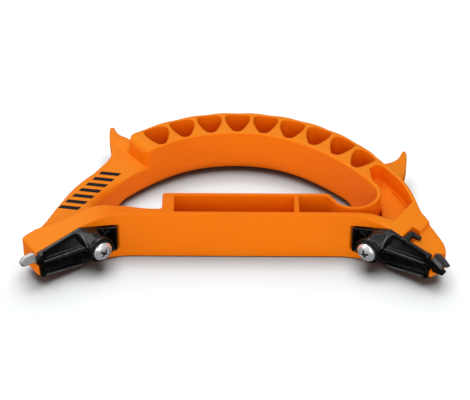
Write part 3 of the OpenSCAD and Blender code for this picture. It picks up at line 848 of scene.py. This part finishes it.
def black():
    k = Nodes("black_moulded_plastic")
    fine = k.noise(420, 3, 0.6)
    fibre = k.noise(900, 2, 0.6, (1, 5, 1))
    base = k.curve(fine, [(0.3, (0.0022, 0.0025, 0.0027)), (0.7, (0.0040, 0.0044, 0.0046))])
    # convex edges painted paler: a painted highlight along the rounded edges, which are also a little rougher
    wear_and_sheen = k.math("MULTIPLY", k.edge(0.52, 0.62), k.span(k.noise(240, 4, 0.65), 0.0, 1.0, 0.4, 0.6), True)
    base = k.mix(k.math("MULTIPLY", wear_and_sheen, 0.5), base, (0.06, 0.065, 0.068))
    k.link(base, k.s.inputs["Base Color"])
    k.link(k.math("ADD", k.span(fine, 0.24, 0.36, 0.3, 0.7), k.math("MULTIPLY", wear_and_sheen, 0.15)), k.s.inputs["Roughness"])
    k.s.inputs["Specular IOR Level"].default_value = 0.5
    k.bump([(fibre, 0.25, 0.00003), (k.noise(3000, 2, 0.5), 0.2, 0.000015)])
    return k.m


def black_painted_glint():
    """The same plastic painted lighter: a painted highlight for glints along rounded edges."""
    k = Nodes("black_plastic_painted_glint")
    fine = k.noise(420, 3, 0.6)
    k.link(k.curve(fine, [(0.3, (0.075, 0.082, 0.084)), (0.7, (0.15, 0.16, 0.165))]), k.s.inputs["Base Color"])
    k.link(k.span(fine, 0.24, 0.36, 0.3, 0.7), k.s.inputs["Roughness"])
    k.bump([(k.noise(3000, 2, 0.5), 0.2, 0.000015)])
    return k.m


def steel(name, lo, hi, r0, r1, angle, metal=1.0):
    k = Nodes(name)
    lines = k.noise(700, 3, 0.7, (24, 1.2, 1.2, angle))
    cloud = k.noise(320, 4, 0.6)
    base = k.curve(k.math("ADD", k.math("MULTIPLY", lines, 0.6), k.math("MULTIPLY", cloud, 0.4)),
                   [(0.35, lo), (0.65, hi)])
    k.link(base, k.s.inputs["Base Color"])
    k.s.inputs["Metallic"].default_value = metal
    k.link(k.span(lines, r0, r1, 0.3, 0.7), k.s.inputs["Roughness"])
    k.bump([(cloud, 0.2, 0.00004), (lines, 0.35, 0.00003)])
    return k.m


def nickel():
    k = Nodes("bright_nickel")
    cloud = k.noise(500, 4, 0.6)
    fine = k.noise(2600, 2, 0.6)
    k.link(k.curve(cloud, [(0.3, (0.84, 0.84, 0.85)), (0.7, (0.96, 0.96, 0.97))]), k.s.inputs["Base Color"])
    k.s.inputs["Metallic"].default_value = 0.7
    k.link(k.span(cloud, 0.18, 0.32, 0.3, 0.7), k.s.inputs["Roughness"])
    k.bump([(cloud, 0.25, 0.00006), (fine, 0.2, 0.00001)])
    return k.m


def ring_black():
    k = Nodes("black_seal")
    fine = k.noise(900, 3, 0.6)
    k.link(k.curve(fine, [(0.3, (0.006, 0.006, 0.006)), (0.7, (0.011, 0.011, 0.012))]), k.s.inputs["Base Color"])
    k.link(k.span(fine, 0.5, 0.65, 0.3, 0.7), k.s.inputs["Roughness"])
    k.bump([(fine, 0.3, 0.00002)])
    return k.m


def brass():
    k = Nodes("turned_brass")
    turn = k.noise(900, 2, 0.6, (1, 1, 14))
    k.link(k.curve(turn, [(0.3, (0.60, 0.42, 0.16)), (0.7, (0.74, 0.54, 0.24))]), k.s.inputs["Base Color"])
    k.s.inputs["Metallic"].default_value = 1.0
    k.link(k.span(turn, 0.22, 0.36, 0.3, 0.7), k.s.inputs["Roughness"])
    k.bump([(turn, 0.3, 0.00003)])
    return k.m


def paint(o, *finishes):
    index = np.zeros(len(o.data.polygons), np.int32)
    o.data.polygons.foreach_get("material_index", index)
    o.data.materials.clear()
    for m in finishes:
        o.data.materials.append(m)
    o.data.polygons.foreach_set("material_index", np.minimum(index, len(finishes) - 1))


paint(moulding(), orange())
# the second black finish paints highlight lines along the arms' edges
dark, glint_finish = black(), black_painted_glint()
for side in (-1, 1):
    paint(arm(side), dark, glint_finish)
# the blade's second steel is dark: painted shade on the end's lower bevel
paint(blade(), steel("ground_steel", (0.48, 0.48, 0.49), (0.72, 0.72, 0.73), 0.30, 0.44, 0.6, 0.5),
      steel("blade_bevel_painted_shade", (0.020, 0.020, 0.022), (0.05, 0.05, 0.053), 0.4, 0.55, 0.6))
paint(fork(), steel("dark_hardened_steel", (0.060, 0.060, 0.064), (0.115, 0.115, 0.12), 0.34, 0.5, -0.6))
shine, seal = nickel(), ring_black()
for side in (-1, 1):
    # the screw's second steel is dark: painted shade inside the cross recess
    paint(screw(side), shine, steel("recess_painted_shade", (0.10, 0.10, 0.105), (0.22, 0.22, 0.23), 0.4, 0.55, 0.3))
    paint(washer(side), seal)
insert_metal = brass()
for n in ("left_insert", "right_insert"):
    o = frame["nodes"][n]
    for i in range(max(1, len(o.data.materials))):
        if len(o.data.materials) <= i:
            o.data.materials.append(insert_metal)
        else:
            o.material_slots[i].material = insert_metal

# ---------------------------------------------------------------- floor, light, camera
bpy.ops.mesh.primitive_plane_add(size=6.0, location=(0, 0, 0))
floor = bpy.context.object
floor.name = "floor"
fm = Nodes("pale_floor")
fn = fm.noise(6, 2, 0.5)
fm.link(fm.curve(fn, [(0.3, (0.194, 0.199, 0.200)), (0.7, (0.202, 0.207, 0.208))]), fm.s.inputs["Base Color"])
fm.s.inputs["Roughness"].default_value = 0.75
fm.s.inputs["Specular IOR Level"].default_value = 0.15
paint(floor, fm.m)
floor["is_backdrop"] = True
# a matt floor, kept out of the glossy pieces' reflections
floor.visible_glossy = False

scene = bpy.context.scene
world = bpy.data.worlds.new("studio")
scene.world = world
world.use_nodes = True
wt = world.node_tree
sky = wt.nodes["Background"]
sky.inputs["Strength"].default_value = 0.42
dirs = wt.nodes.new("ShaderNodeTexCoord")
split = wt.nodes.new("ShaderNodeSeparateXYZ")
band = wt.nodes.new("ShaderNodeMapRange")
band.inputs["From Min"].default_value = -0.12
band.inputs["From Max"].default_value = 0.06
wt.links.new(dirs.outputs["Generated"], split.inputs[0])
wt.links.new(split.outputs["Z"], band.inputs["Value"])
wt.links.new(band.outputs["Result"], sky.inputs["Color"])


def area(name, loc, target, size, power, size_y=None):
    d = bpy.data.lights.new(name, "AREA")
    d.energy = power
    d.size = size
    if size_y:
        d.shape = "RECTANGLE"
        d.size_y = size_y
    o = bpy.data.objects.new(name, d)
    scene.collection.objects.link(o)
    o.location = loc
    o.rotation_euler = (Vector(target) - Vector(loc)).to_track_quat("-Z", "Y").to_euler()
    return o


# the studio's lamps: some light the tool, one lights the floor round it
tool_set = bpy.data.collections.new("tool_set")
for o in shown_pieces():
    tool_set.objects.link(o)
floor_set = bpy.data.collections.new("floor_set")
floor_set.objects.link(floor)
for lamp in (area("key", (-0.25, 0.45, 0.85), (0, 0.02, 0.01), 0.5, 2.6),
             area("front", (0.1, -0.95, 0.45), (0, 0.0, 0.01), 0.7, 4.2),
             area("left", (-0.9, -0.3, 0.45), (0, 0.0, 0.01), 0.5, 1.5),
             area("top", (0.05, -0.25, 1.0), (0, 0.03, 0.0), 0.5, 1.5)):
    lamp.light_linking.receiver_collection = tool_set
for lamp in (area("floor_back", (0.0, 0.44, 0.84), (0, 0.02, 0.0), 0.95, 24.5),
             area("floor_top", (0.0, 0.0, 1.3), (0, 0.0, 0.0), 1.1, 58.5)):
    lamp.light_linking.receiver_collection = floor_set

cam_data = bpy.data.cameras.new("camera")
cam = bpy.data.objects.new("camera", cam_data)
scene.collection.objects.link(cam)
scene.camera = cam
el, az, roll = math.radians(38), math.radians(0.5), math.radians(-0.05)
back = Vector((math.sin(az) * math.cos(el), -math.cos(az) * math.cos(el), math.sin(el)))
cam.location = Vector((-0.0002, 0.0361, 0.0)) + back * 0.9
cam.rotation_mode = "QUATERNION"
q = (-back).to_track_quat("-Z", "Y")
cam.rotation_quaternion = q @ Quaternion((0, 0, 1), roll)
cam_data.sensor_width = 36.0
cam_data.lens = 137.9
cam_data.clip_start = 0.01
cam_data.clip_end = 20
scene.view_settings.view_transform = "Standard"
scene.view_settings.look = "None"
scene.view_settings.exposure = 0.0
scene.view_settings.gamma = 1.0
